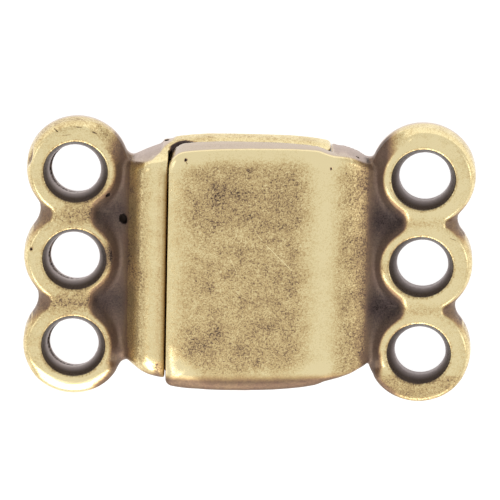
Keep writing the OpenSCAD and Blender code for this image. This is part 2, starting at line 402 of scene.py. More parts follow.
def gradient(distance, p, step=0.01):
    """Slope of a distance field at many points."""
    slope = np.empty_like(p)
    for axis in range(3):
        shift = np.zeros(3)
        shift[axis] = step
        slope[:, axis] = distance(*(p + shift).T) - distance(*(p - shift).T)
    return slope / (2 * step)


def spaced(stretches):
    """Places along an axis: (from, to, step) stretches joined end to end."""
    parts = []
    for low, high, step in stretches:
        parts.append(np.linspace(low, high, max(int(round((high - low) / step)), 1), endpoint=False))
    return np.append(np.concatenate(parts), stretches[-1][1])


def surface_net(distance, xs, ys, zs):
    """Closed quad mesh of a distance field's zero surface, one point for each cell that it crosses."""
    field = np.empty((len(xs), len(ys), len(zs)))
    for start in range(0, len(xs), SLAB):
        block = xs[start:start + SLAB]
        field[start:start + SLAB] = distance(*np.meshgrid(block, ys, zs, indexing="ij"))
    inside = field < 0
    cells = tuple(n - 1 for n in field.shape)
    total = np.zeros(cells + (3,))
    hits = np.zeros(cells)
    places = (xs, ys, zs)
    edges = []
    for axis in range(3):
        crossed = np.argwhere(np.diff(inside, axis=axis))
        ahead = crossed.copy()
        ahead[:, axis] += 1
        a = field[tuple(crossed.T)]
        b = field[tuple(ahead.T)]
        point = np.stack([places[k][crossed[:, k]] for k in range(3)], axis=1)
        step = places[axis][ahead[:, axis]] - places[axis][crossed[:, axis]]
        point[:, axis] += step * a / (a - b)
        others = [k for k in range(3) if k != axis]
        around = []
        for du, dv in ((-1, -1), (0, -1), (0, 0), (-1, 0)):
            cell = crossed.copy()
            cell[:, others[0]] += du
            cell[:, others[1]] += dv
            around.append(cell)
            np.add.at(total, tuple(cell.T), point)
            np.add.at(hits, tuple(cell.T), 1)
        edges.append((axis, a < 0, around))
    used = hits > 0
    number = np.full(cells, -1)
    number[used] = np.arange(used.sum())
    points = total[used] / hits[used][:, None]
    quads = []
    for axis, starts_inside, around in edges:
        ring = np.stack([number[tuple(cell.T)] for cell in around], axis=1)
        turned = starts_inside if axis != 1 else ~starts_inside
        ring[~turned] = ring[~turned][:, ::-1]
        quads.append(ring)
    return points, np.concatenate(quads)


def settle(distance, points, quads, rounds):
    """Evens the points out along the surface and sets them back on it."""
    a = quads.ravel()
    b = np.roll(quads, -1, axis=1).ravel()
    for turn in range(rounds + 1):
        if turn:
            total = np.zeros_like(points)
            count = np.zeros(len(points))
            np.add.at(total, a, points[b])
            np.add.at(total, b, points[a])
            np.add.at(count, a, 1)
            np.add.at(count, b, 1)
            points = points + 0.5 * (total / count[:, None] - points)
        for _ in range(3):
            slope = gradient(distance, points)
            size = np.maximum((slope ** 2).sum(axis=1), 0.05)
            move = slope * (distance(*points.T) / size)[:, None]
            length = np.linalg.norm(move, axis=1)
            points = points - move * np.minimum(1, LONGEST_STEP / np.maximum(length, 1e-9))[:, None]
    return points


# How far a polishing wheel or a sleeve reaches into the hollows: ball radius in millimetres, how
# far round each point it is rolled, and the grid's step along the clasp and up.
RUB_BALL = 6.0
RUB_REACH = 3.6
RUB_STEP = 0.2
RUB_RISE = 0.05
# Stand-in heights for no metal below and for no ball above.
NO_METAL = -6.0
NO_BALL = 20.0


def rubbed_surface(distance):
    """Height of the lowest point that a large ball rolled over the clasp can reach, on a grid."""
    xs = np.arange(-14, 14.01, RUB_STEP)
    ys = np.arange(-9.2, 9.21, RUB_STEP)
    zs = np.arange(RUB_RISE, 3.56, RUB_RISE)
    grid = np.meshgrid(xs, ys, zs, indexing="ij")
    solid = distance(*grid) < 0
    top = np.where(solid, grid[2], NO_METAL).max(axis=2)
    reach = int(RUB_REACH / RUB_STEP)
    padded = np.pad(top, 2 * reach, constant_values=NO_METAL)
    shape = (len(xs) + 2 * reach, len(ys) + 2 * reach)
    rolled = np.full(shape, -NO_BALL)
    closed = np.full(top.shape, NO_BALL)
    steps = []
    for i in range(-reach, reach + 1):
        for j in range(-reach, reach + 1):
            across = RUB_STEP * math.hypot(i, j)
            if across < RUB_REACH:
                steps.append((i, j, math.sqrt(RUB_BALL ** 2 - across ** 2) - RUB_BALL))
    for i, j, drop in steps:
        part = padded[reach + i:reach + i + shape[0], reach + j:reach + j + shape[1]]
        rolled = np.maximum(rolled, part + drop)
    for i, j, drop in steps:
        part = rolled[reach + i:reach + i + top.shape[0], reach + j:reach + j + top.shape[1]]
        closed = np.minimum(closed, part - drop)
    return xs, ys, closed


def read_grid(xs, ys, values, x, y):
    """Value between the grid's points."""
    fx = np.clip((x - xs[0]) / RUB_STEP, 0, len(xs) - 1.001)
    fy = np.clip((y - ys[0]) / RUB_STEP, 0, len(ys) - 1.001)
    i = fx.astype(int)
    j = fy.astype(int)
    fx = fx - i
    fy = fy - j
    low = values[i, j] * (1 - fx) + values[i + 1, j] * fx
    high = values[i, j + 1] * (1 - fx) + values[i + 1, j + 1] * fx
    return low * (1 - fy) + high * fy


def whole_clasp(x, y, z):
    """Distance from both halves together, closed."""
    return np.minimum(base_half(x, y, z), cover_half(x, y, z))


def ball_directions(count):
    """Evenly spread directions."""
    k = np.arange(count) + 0.5
    height = 1 - 2 * k / count
    angle = k * math.pi * (3 - math.sqrt(5))
    across = np.sqrt(1 - height ** 2)
    return np.stack([across * np.cos(angle), across * np.sin(angle), height], axis=1)


def fill_of(distance, points, reach):
    """Share of metal in a ball round each point: 0.5 on a flat, less on an edge, more in a hollow."""
    total = np.zeros(len(points))
    directions = ball_directions(28)
    for direction in directions:
        total += np.clip(0.5 - distance(*(points + reach * direction).T) / reach, 0, 1)
    return total / len(directions)


# Distances in millimetres at which the finish looks for metal: over a crevice, and round an edge.
CREVICE_REACHES = (0.12, 0.3, 0.6, 1.1)
EDGE_REACH = 0.8
# Radius of the dark line round each hole's mouth.
MOUTH_LINE_R = 1.93
# A mark smaller than this is a dark pit, and not a bright nick.
PIT_R = 0.3
# Edge of the painted shadow in the gap under the cover's +Y corner, laid over the plate's dark
# patina there: across the clasp, by place along it, as seen from the photograph's lean.
CAVE_SHADOW_EDGE = (
    [-4.8, -4.66, -4.31, -3.89, -3.5, -3.13],
    [6.8, 6.93, 7.12, 7.2, 7.14, 7.02])
CAVE_SHADOW_LEAN = (0.94, 0.342)


def places_of(points, normal, half):
    """Where each point lies on its half, in the terms that its finish depends on."""
    x, y, z = points.T
    lap_w = np.interp(np.abs(x), *LAP_OUTLINE)
    return SimpleNamespace(
        x=x, y=y, z=z, normal_y=normal[:, 1], normal_z=normal[:, 2],
        lap_w=lap_w, past_lap=np.abs(y) - lap_w,
        from_hole=np.hypot(x - half.column_x, y - nearest_of_three(y, STRAND_PITCH)),
        towards_arm=(half.column_x - x) * np.sign(half.column_x),
        between_loops=np.exp(-((np.abs(y) - STRAND_PITCH / 2) / 1.2) ** 2),
        below_face=LOOP_T - z)


def crevice_of(distance, points, normal, at):
    """How closely other metal stands over each point. The seam counts for less."""
    tight = np.zeros(len(points))
    for reach in CREVICE_REACHES:
        above = distance(*(points + reach * normal).T)
        tight += np.clip(1 - above / reach, 0, 1) / len(CREVICE_REACHES)
    return tight * (1 - 0.6 * near_to(at.x, ARM_END, 0.3, 0.6) * fall(at.y, 5.8, 6.3))


def sunk_of(rubbed, at, half):
    """How far each point lies below the wheel. The seam and the lap's edges count as reached."""
    gap = np.maximum(read_grid(*rubbed, at.x, at.y) - at.z, 0)
    gap *= 1 - ramp(at.past_lap, -0.5, -0.3) * fall(np.abs(at.x), 4.8, 5.0)
    gap *= 1 - near_to(at.x, ARM_END, 0.25, 0.5)
    if half is BASE:
        gap *= 1 - 0.85 * near_to(at.x, -6.75, 0.35, 0.8)
    return gap


def polish_and_painted_light_of(at, gap, half):
    """How brightly each point is polished, with painted highlights and painted shade in a few places. Below 0
    it is duller than the rest; at painted shade it is darker.
    """
    polish_and_painted_light = np.zeros(len(at.x))
    for middle, reach, strength in half.bands:
        polish_and_painted_light += strength * np.exp(-((at.x - middle) / reach) ** 2)
    polish_and_painted_light += 0.6 * fall(at.from_hole, 2.35, 2.9)
    polish_and_painted_light -= 1.5 * near_to(at.from_hole, MOUTH_LINE_R, 0.07, 0.14)
    if half is BASE:
        polish_and_painted_light += 0.35 * ramp(at.past_lap, -0.6, -0.3) * fall(np.abs(at.x), 4.6, 5.0)
        raised = ramp(at.z, 1.5, 2.0)
        # Painted shade: darker on the arm's rounding beside the seam.
        by_seam = ramp(at.x, ARM_END - 0.3, ARM_END - 0.12) * raised
        polish_and_painted_light -= 1.2 * by_seam * fall(at.y, 5.0, 6.0)
        # Painted shade: darker at the arm's -Y corner by the seam, which trims the front lamp's highlight.
        low_corner = fall(at.y, -6.4, -5.6) * raised
        polish_and_painted_light -= 3.2 * low_corner * ramp(at.x, -5.7, -5.3)
    else:
        high_side = ramp(at.past_lap, -1.3, -0.4)
        low_side = ramp(at.past_lap, -1.9, -0.9)
        by_side = np.where(at.y > 0, high_side, low_side) * fall(np.abs(at.x), 4.6, 5.2)
        polish_and_painted_light += by_side * np.where(at.y > 0, 0.95, 1.1)
        polish_and_painted_light -= 1.7 * ramp(-at.y - at.lap_w, -0.55, -0.35) * ramp(at.x, -3.4, -2.6)
    # Dull spots darken; a spot of negative strength is a painted highlight.
    for spot_x, spot_y, radius, strength in half.dull:
        away = np.hypot(at.x - spot_x, at.y - spot_y) / radius
        polish_and_painted_light -= strength * np.exp(-away ** 2)
    return polish_and_painted_light * (1 - ramp(gap, 0.02, 0.15) * (polish_and_painted_light > 0))


def flank_of(at, bore, half):
    """How dark each point is, on 0 to 1, where the finish is left dark between loops and arm, and where shade
    is painted.
    """
    pocket = at.between_loops * ramp(at.below_face, 0.15, 0.45) * ramp(at.towards_arm, 0.75, 1.2)
    notch = at.between_loops * fall(at.towards_arm, -1.3, -0.9) * ramp(at.normal_z, 0.05, 0.3)
    bright_side = np.where((half is COVER) & (at.y > 0), 1.1, 1.5) * ramp(np.abs(at.y), 5.2, 6.2)
    slope = ramp(at.towards_arm, 0.3 + bright_side, 1.2 + bright_side)
    flank = np.maximum(slope, notch * 0.9)
    flank *= ramp(at.below_face, 0.05, 0.17)
    flank *= fall(np.abs(at.towards_arm), 3.15, 3.35) * (1 - bore) * ramp(at.z, 0.15, 0.4)
    flank *= half.flank_tone - 0.1 * ramp(at.towards_arm, 2.6, 3.3) + 0.11 * pocket

    # Painted shade on the rounded face edges between loops and arm that lean towards -Y, where the front lamp
    # would light them.
    edge_shade = fall(at.normal_z, 0.95, 0.995) * fall(at.normal_y, -0.25, -0.08)
    edge_shade *= fall(at.below_face, 0.2, 0.3) * fall(np.abs(at.y), 5.2, 5.6)
    edge_shade *= ramp(at.towards_arm, 0.6, 1.2) * fall(at.towards_arm, 2.6, 2.9)
    flank = np.maximum(flank, 0.66 * edge_shade)
    valley_end = fall(at.y, -5.7, -5.2) * near_to(at.towards_arm, 2.8, 0.4, 0.75)
    rim = ramp(at.from_hole, 2.6, 2.85) * ramp(at.towards_arm, 0.8, 1.6) * fall(at.y, -7.0, -6.4)
    flank = np.maximum(flank, 0.76 * np.maximum(valley_end, rim))
    for mark in half.marks:
        if mark[3] < PIT_R:
            flank = np.maximum(flank, 1.2 * fall(ball(at.x, at.y, at.z, mark), 0, 0.06))
    if half is BASE:
        # Painted shadow, over dark patina, in the gap under the cover's +Y corner.
        lean_y, lean_z = CAVE_SHADOW_LEAN
        inside = np.interp(at.x, *CAVE_SHADOW_EDGE) - lean_y * at.y + lean_z * (at.z - PLATE_T)
        cave_shadow = ramp(inside, 0.0, 0.07) * ramp(at.y, 6.2, 6.6) * fall(at.z, 1.6, 1.75)
        cave_shadow *= ramp(at.x, -4.85, -4.75) * fall(at.x, -3.3, -3.0)
        flank = np.maximum(flank, 0.94 * cave_shadow)
    return flank


def wall_of(at, bore, half):
    """1 on the upright sides that the wheel has left pale and matt, and as painted shade low on the -Y
    roundings; 0 elsewhere.
    """
    # Facing -Y the tint reaches further up the rounding: painted shade along the lower -Y outline.
    steep = np.where(at.normal_y < -0.3, 0.62, 0.5)
    wall = fall(at.normal_z, steep - 0.35, steep) * (1 - bore)
    on_loops = fall(np.abs(at.towards_arm), 3.2, 3.6)
    wall *= 1 - on_loops * ramp(at.z, 0.2, 0.55)
    wall *= 1 - fall(at.y, -1, 0) * near_to(at.towards_arm, 3.2, 0.5, 0.9)
    if half is BASE:
        wall_top = np.where(at.y > 0, 2.1 * np.clip((-4.3 - at.x) / 1.2, 0, 1.3), 1.0)
        wall *= ramp(wall_top - at.z, 0.0, 0.15) * fall(at.x, -4.4, -4.3)
    return wall


def wear_of(distance, points, rubbed, half):
    """What the finish needs to know at each point of a casting."""
    slope = gradient(distance, points)
    normal = slope / np.linalg.norm(slope, axis=1)[:, None]
    at = places_of(points, normal, half)
    gap = sunk_of(rubbed, at, half)
    bore = fall(at.from_hole, 1.9, 2.0) * fall(np.abs(at.normal_z), 0.7, 0.9)
    return {
        "near": fill_of(distance, points, EDGE_REACH),
        "polish_and_painted_light": polish_and_painted_light_of(at, gap, half),
        "crevice": crevice_of(distance, points, normal, at),
        "sunk": gap,
        "wall": wall_of(at, bore, half),
        "bore": bore,
        "flank": flank_of(at, bore, half),
    }


def new_object(name, data):
    """An object with this data, in the scene."""
    made = bpy.data.objects.new(name, data)
    bpy.context.scene.collection.objects.link(made)
    return made


def casting(name, distance, xs, ys, zs, rubbed, half):
    """Mesh object of one half, in metres, with its wear, painted shade and painted highlights as attributes.
    """
    points, quads = surface_net(distance, xs, ys, zs)
    points = settle(distance, points, quads, 2)
    points[:, 2] = np.maximum(points[:, 2], 0)
    mesh = bpy.data.meshes.new(name)
    mesh.from_pydata((points * MM).tolist(), [], quads.tolist())
    for key, values in wear_of(distance, points, rubbed, half).items():
        field = mesh.attributes.new(key, "FLOAT", "POINT")
        field.data.foreach_set("value", values.astype(np.float32))
    mesh.shade_smooth()
    return new_object(name, mesh)


class Wire:
    """One socket of a node tree. Arithmetic on it adds Math nodes to the tree."""

    def __init__(self, tree, socket=None):
        self.tree = tree
        self.socket = socket

    def node(self, kind, inputs=None, settings=None, out=0):
        """Adds a node: its settings first, then values or wires for its sockets."""
        made = self.tree.nodes.new(kind)
        for name, value in (settings or {}).items():
            if name == "stops":
                stops = made.color_ramp.elements
                while len(stops) > 1:
                    stops.remove(stops[-1])
                for place, colour in value:
                    stop = stops.new(place)
                    stop.color = (*colour, 1)
                stops.remove(stops[0])
            else:
                setattr(made, name, value)
        for name, value in (inputs or {}).items():
            if isinstance(value, Wire):
                self.tree.links.new(value.socket, made.inputs[name])
            else:
                made.inputs[name].default_value = value
        return Wire(self.tree, made.outputs[out])

    def maths(self, operation, *values):
        return self.node("ShaderNodeMath", dict(enumerate(values)), {"operation": operation})

    def parts(self):
        """X, Y and Z of this vector."""
        split = self.node("ShaderNodeSeparateXYZ", {0: self}).socket.node
        return [Wire(self.tree, output) for output in split.outputs]

    def __add__(self, other):
        return self.maths("ADD", self, other)

    __radd__ = __add__

    def __sub__(self, other):
        return self.maths("SUBTRACT", self, other)

    def __rsub__(self, other):
        return self.maths("SUBTRACT", other, self)

    def __mul__(self, other):
        return self.maths("MULTIPLY", self, other)

    __rmul__ = __mul__

    def __rtruediv__(self, other):
        return self.maths("DIVIDE", other, self)

    def __abs__(self):
        return self.maths("ABSOLUTE", self)

    def ramp(self, low, high):
        """0 below low, 1 above high, smooth in between."""
        values = {"Value": self, "From Min": low, "From Max": high}
        return self.node("ShaderNodeMapRange", values, {"interpolation_type": "SMOOTHSTEP"})

    def limit(self, low=0.0, high=1.0):
        return self.node("ShaderNodeClamp", {"Value": self, "Min": low, "Max": high})

    def blend(self, first, second):
        """Colour between two others, by this value."""
        return self.node("ShaderNodeMix", {0: self, 6: first, 7: second}, {"data_type": "RGBA"}, out=2)

    def noise(self, scale, detail=2.0, roughness=0.5):
        """Noise with this many lumps in a unit of this vector."""
        values = {"Vector": self, "Scale": scale, "Detail": detail, "Roughness": roughness}
        return self.node("ShaderNodeTexNoise", values)

    def times(self, vector):
        """This vector, stretched."""
        values = {0: self, 1: vector}
        return self.node("ShaderNodeVectorMath", values, {"operation": "MULTIPLY"})

    def turned(self, degrees):
        """This vector, turned about Z."""
        values = {"Vector": self, "Angle": math.radians(degrees)}
        return self.node("ShaderNodeVectorRotate", values, {"rotation_type": "Z_AXIS"})


def new_finish(name):
    """An empty material: itself, a wire to start from, and its output node."""
    made = bpy.data.materials.new(name)
    made.use_nodes = True
    made.node_tree.nodes.clear()
    end = made.node_tree.nodes.new("ShaderNodeOutputMaterial")
    return made, Wire(made.node_tree), end


def close_finish(made, shader, end):
    """Ends a material in this shader."""
    made.node_tree.links.new(shader.socket, end.inputs["Surface"])
    return made


# Antique brass from its rubbed highs to the black in its crevices: place on the scale, colour.
BRASS_SCALE = [
    (0.00, (0.86, 0.73, 0.42)),
    (0.15, (0.77, 0.635, 0.34)),
    (0.35, (0.61, 0.46, 0.23)),
    (0.50, (0.47, 0.34, 0.16)),
    (0.65, (0.33, 0.225, 0.12)),
    (0.80, (0.165, 0.115, 0.08)),
    (0.95, (0.05, 0.036, 0.032)),
    (1.00, (0.02, 0.015, 0.012)),
]
WALL_LOW = (0.64, 0.53, 0.48, 1)
WALL_HIGH = (0.47, 0.365, 0.30, 1)
# Walls of the holes: pale low down as a painted reflection of the floor, dark towards the mouth as patina
# with painted shade, and paler in the base than in the cover as painted light that evens out the side lamps.
BORE_LIGHT_BASE = (0.56, 0.49, 0.47, 1)
BORE_LIGHT_COVER = (0.41, 0.355, 0.345, 1)
BORE_DARK = (0.07, 0.053, 0.046, 1)
# Painted shade and reflection beside the seam.
SEAM_SHADE_BROWN = (0.33, 0.2, 0.06, 1)
VIOLET_CAST = (1.06, 0.93, 0.98, 1)
NICKEL_BRIGHT = (0.62, 0.61, 0.58, 1)
NICKEL_HAZE = (0.48, 0.47, 0.45, 1)
PER_METRE = (1000, 1000, 1000)

# Dark flaws in the faces and bright scratches in the cover: from, to, half width in millimetres.
FLAWS = [
    ((-11.68, 8.4), (-11.72, 8.12), 0.035), ((-11.72, 8.14), (-11.4, 7.98), 0.035),
    ((-9.42, 8.03), (-9.1, 7.84), 0.04), ((-10.4, 8.32), (-9.95, 8.27), 0.03),
    ((-11.2, 7.8), (-10.6, 7.86), 0.03), ((-9.05, 8.2), (-8.9, 8.0), 0.035),
    ((11.9, 1.9), (12.3, 1.75), 0.03), ((-3.85, 6.98), (-3.7, 6.75), 0.04),
]
SCRATCHES = [
    ((0.9, 1.83), (2.65, -0.03), 0.035), ((0.35, 2.6), (0.8, 1.95), 0.025),
    ((-3.66, -3.84), (-3.3, -4.35), 0.03), ((-3.45, -4.03), (-2.9, -4.05), 0.03),
    ((-1.1, 0.9), (-0.6, -0.2), 0.022),
]


def scratch(x, y, start, stop, half_width):
    """1 along a scratch, 0 beside it."""
    length = math.hypot(stop[0] - start[0], stop[1] - start[1])
    dx = (stop[0] - start[0]) / length
    dy = (stop[1] - start[1]) / length
    off_x = x - (start[0] + stop[0]) / 2
    off_y = y - (start[1] + stop[1]) / 2
    along = abs(off_x * dx + off_y * dy)
    across = abs(off_y * dx - off_x * dy)
    return (1 - along.ramp(length * 0.35, length * 0.5)) * (1 - across.ramp(half_width * 0.3, half_width))


def antique_brass():
    """Cast brass, darkened and rubbed bright again where a cloth reaches, with painted shade, painted
    highlights and painted reflection in places.
    """
    made, start, end = new_finish("antique_brass")
    mm = start.node("ShaderNodeTexCoord", out="Object").times(PER_METRE)
    x, y, height = mm.parts()
    field = {}
    for key in ("near", "polish_and_painted_light", "crevice", "sunk", "wall", "bore", "flank"):
        field[key] = start.node("ShaderNodeAttribute", settings={"attribute_name": key}, out="Fac")
    cloud = mm.noise(0.35, 3, 0.55)
    blotch = mm.noise(1.3, 3, 0.6)
    grain = mm.noise(6.5, 3, 0.75)
    speck = mm.noise(13, 2, 0.8)
    fine_lines = mm.turned(38).times((14, 0.9, 1)).noise(1, 2, 0.6)
    cross_lines = mm.turned(-52).times((11, 0.7, 1)).noise(1, 2, 0.6)
    cuts = sum(scratch(x, y, *mark) for mark in SCRATCHES) * height.ramp(1.9, 2.1)
    flaws = sum(scratch(x, y, *mark) for mark in FLAWS) * height.ramp(1.2, 1.5)

    # Tone: the place on the brass scale, from what the wheel reached and from the grain, with painted shade
    # and painted highlights in some places.
    depth = 1 - start.maths("EXPONENT", field["sunk"] * -3.0)
    convex = (0.5 - field["near"]).limit(0, 0.3) * (1 - depth)
    hollow = (field["near"] - 0.5).limit(0, 0.3)
    dark = depth * 0.36 + field["crevice"].limit(0, 0.6) * 0.31 + hollow * 0.7
    dark = dark + (field["polish_and_painted_light"] * -1).limit(0, 4) * 0.136
    bright = convex * 1.38 + field["polish_and_painted_light"].limit(0, 2) * 0.3
    tone = 0.455 + dark - bright
    mottle = (cloud - 0.5) * 0.5 + (blotch - 0.5) * 0.62 + (grain - 0.5) * 1.3 + (speck - 0.5) * 1.1
    calm = 1 - (convex * 3 + field["polish_and_painted_light"].limit(0, 1) * 0.8).limit() * 0.5 - depth * 0.6
    lines = (fine_lines.ramp(0.6, 0.75) + cross_lines.ramp(0.62, 0.76)) * 0.12
    flecks = speck.ramp(0.6, 0.7) * (tone - 0.4).limit(0, 0.25) * 0.6
    tone = tone + mottle * calm - lines - flecks - cuts * 0.4 + flaws * 0.6
    on_flank = (field["flank"] * 1.32).limit()
    tone = tone * (1 - on_flank) + field["flank"] + mottle * on_flank * 0.1

    # Colour: the brass scale, then the pale walls with their painted shade low on the -Y side, the painted
    # shade beside the seam, and the walls of the holes with their painted reflection and shade over it.
    body = tone.node("ShaderNodeValToRGB", {0: tone}, {"stops": BRASS_SCALE})
    violet = (depth * 1.2 + on_flank).limit() * (blotch.ramp(0.35, 0.65) * 0.4 + 0.3)
    cast = body.node("ShaderNodeMix", {0: 1.0, 6: body, 7: VIOLET_CAST},
                     {"data_type": "RGBA", "blend_type": "MULTIPLY"}, out=2)
    body = violet.blend(body, cast)
    wall_show = field["wall"] * (1 - field["crevice"].ramp(0.25, 0.7)) * 0.85
    strata = mm.times((0.35, 0.35, 5)).noise(1, 2, 0.6)
    wall_height = height + (strata - 0.5) * 1.8
    body = wall_show.blend(body, wall_height.ramp(0.1, 2.4).blend(WALL_LOW, WALL_HIGH))
    # Painted shade and reflection: a brown band on the arm beside the seam.
    seam = x.ramp(ARM_END - 0.42, ARM_END - 0.08) * (1 - x.ramp(ARM_END + 0.01, ARM_END + 0.02))
    seam = seam * height.ramp(1.8, 2.2) * (1 - y.ramp(5.8, 6.4))
    body = (seam * 0.8).blend(body, SEAM_SHADE_BROWN)
    # Painted reflection of the floor low in the holes, and painted shade over patina towards the mouth.
    bore_light = x.ramp(-1, 1).blend(BORE_LIGHT_BASE, BORE_LIGHT_COVER)
    bore_colour = height.ramp(0.95, 1.5).blend(bore_light, BORE_DARK)
    body = (field["bore"] * 0.95).blend(body, bore_colour)

    rough = 0.17 + tone.limit() * 0.42 + (grain - 0.5) * 0.15
    relief = grain * 0.5 + speck * 0.35 + blotch * 1.2 - fine_lines.ramp(0.6, 0.75) * 0.25 - cuts * 0.5
    bump = relief.node("ShaderNodeBump", {"Height": relief, "Strength": 1.0, "Distance": 0.0055 * MM})
    tarnish = (depth * 0.6 + field["crevice"] * 0.5).limit() * 0.6
    metal = 1 - tarnish * (1 - tone.ramp(0.95, 1.0))
    shader = start.node("ShaderNodeBsdfPrincipled", {
        "Base Color": body, "Roughness": rough.limit(0.15, 0.9), "Metallic": metal, "Normal": bump})
    return close_finish(made, shader, end)


def nickel_plate():
    """Nickel-plated magnet: bright, a little brushed, with dull spots."""
    made, start, end = new_finish("nickel_plate")
    mm = start.node("ShaderNodeTexCoord", out="Object").times(PER_METRE)
    haze = mm.noise(1.1, 3, 0.6)
    grain = mm.noise(9, 2, 0.7)
    lines = mm.turned(20).times((16, 1.1, 1)).noise(1, 2, 0.6)
    colour = haze.ramp(0.35, 0.7).blend(NICKEL_BRIGHT, NICKEL_HAZE)
    rough = 0.2 + haze * 0.18 + (grain - 0.5) * 0.12
    relief = grain * 0.4 + lines * 0.5
    bump = relief.node("ShaderNodeBump", {"Height": relief, "Strength": 1.0, "Distance": 0.003 * MM})
    shader = start.node("ShaderNodeBsdfPrincipled", {
        "Base Color": colour, "Roughness": rough, "Metallic": 1.0, "Normal": bump})
    return close_finish(made, shader, end)


def new_tree(name, inputs):
    """A Geometry Nodes tree with named inputs: the tree, its input wires by name, its output node."""
    tree = bpy.data.node_groups.new(name, "GeometryNodeTree")
    tree.interface.new_socket("Geometry", in_out="INPUT", socket_type="NodeSocketGeometry")
    for key, kind in inputs.items():
        tree.interface.new_socket(key, in_out="INPUT", socket_type="NodeSocket" + kind)
    tree.interface.new_socket("Geometry", in_out="OUTPUT", socket_type="NodeSocketGeometry")
    entry = tree.nodes.new("NodeGroupInput")
    wires = {socket.name: Wire(tree, socket) for socket in entry.outputs if socket.name}
    return tree, wires, tree.nodes.new("NodeGroupOutput")


def close_tree(tree, geometry, material, end):
    """Ends a tree in Realize Instances and Set Material."""
    real = geometry.node("GeometryNodeRealizeInstances", {0: geometry})
    done = real.node("GeometryNodeSetMaterial", {"Geometry": real, "Material": material})
    tree.links.new(done.socket, end.inputs[0])


def grown(name, tree, values, source=None):
    """A plain mesh object from a tree with these input values, on a source object or on nothing."""
    if source is None:
        source = new_object(name + "_seed", bpy.data.meshes.new(name + "_seed"))
    modifier = source.modifiers.new("growth", "NODES")
    modifier.node_group = tree
    for socket in tree.interface.items_tree:
        if socket.in_out == "INPUT" and socket.name in values:
            modifier[socket.identifier] = values[socket.name]
    graph = bpy.context.evaluated_depsgraph_get()
    mesh = bpy.data.meshes.new_from_object(source.evaluated_get(graph), depsgraph=graph)
    source.modifiers.clear()
    bpy.data.objects.remove(source)
    mesh.name = name
    return new_object(name, mesh)


# Unevenness of the cast metal in millimetres: how deep, how wide, and the height below which the
# back stays flat.
UNEVENNESS = 0.022
LUMP_SIZE = 1.6
FLAT_BACK = 0.05


def cast_skin_tree():
    """Gives a casting the slight unevenness of metal poured and finished by hand."""
    tree, given, end = new_tree("cast_skin", {
        "Unevenness": "Float", "Lump size": "Float", "Seed": "Float", "Finish": "Material"})
    start = Wire(tree)
    place = start.node("GeometryNodeInputPosition")
    normal = start.node("GeometryNodeInputNormal")
    values = {"Vector": place, "W": given["Seed"], "Scale": 1 / given["Lump size"], "Detail": 1.0}
    lumps = start.node("ShaderNodeTexNoise", values, {"noise_dimensions": "4D"})
    height = place.parts()[2]
    off_back = height.maths("GREATER_THAN", height, FLAT_BACK * MM)
    inward = given["Unevenness"] * lumps * off_back * -1
    shift = normal.node("ShaderNodeVectorMath", {0: normal, "Scale": inward}, {"operation": "SCALE"})
    moved = start.node("GeometryNodeSetPosition", {"Geometry": given["Geometry"], "Offset": shift})
    close_tree(tree, moved, given["Finish"], end)
    return tree


# A quarter of a rounded edge: shares of the edge that each point lies in from the side, and down.
QUARTER_ROUND = ((1.0, 0.0), (0.5, 0.13), (0.13, 0.5), (0.0, 1.0))


def disc_magnet_tree():
    """A row of disc magnets with rounded edges, across the clasp."""
    tree, given, end = new_tree("disc_magnets", {
        "Count": "Int", "Pitch": "Float", "Radius": "Float", "Thickness": "Float", "Edge": "Float",
        "Foot": "Float", "Finish": "Material"})
    start = Wire(tree)
    # The disc's outline from its lower face to its upper one: radius and height of each ring.
    upper = []
    for share_in, share_down in QUARTER_ROUND:
        upper.append((given["Radius"] - given["Edge"] * share_in,
                      given["Thickness"] - given["Edge"] * share_down))
    rings = [(radius, given["Thickness"] - height) for radius, height in upper] + upper[::-1]
    segments = len(rings) - 1
    values = {"Vertices": 64, "Side Segments": segments, "Fill Segments": 6, "Radius": 1.0, "Depth": 1.0}
    cylinder = start.node("GeometryNodeMeshCylinder", values, {"fill_type": "NGON"})
    x, y, z = start.node("GeometryNodeInputPosition").parts()
    place = (z + 0.5) * segments
    on_ring = [place.maths("COMPARE", place, float(k), 0.25) for k in range(len(rings))]
    new_r = sum(here * radius for here, (radius, height) in zip(on_ring, rings))
    new_z = sum(here * height for here, (radius, height) in zip(on_ring, rings))
    shaped = start.node("ShaderNodeCombineXYZ", {0: x * new_r, 1: y * new_r, 2: new_z + given["Foot"]})
    disc = start.node("GeometryNodeSetPosition", {"Geometry": cylinder, "Position": shaped})
    row_start = start.node("ShaderNodeCombineXYZ", {1: (given["Count"] - 1) * given["Pitch"] * -0.5})
    row_step = start.node("ShaderNodeCombineXYZ", {1: given["Pitch"]})
    row = start.node("GeometryNodeMeshLine", {
        "Count": given["Count"], "Start Location": row_start, "Offset": row_step}, {"mode": "OFFSET"})
    placed = start.node("GeometryNodeInstanceOnPoints", {"Points": row, "Instance": disc})
    close_tree(tree, placed, given["Finish"], end)
    return tree


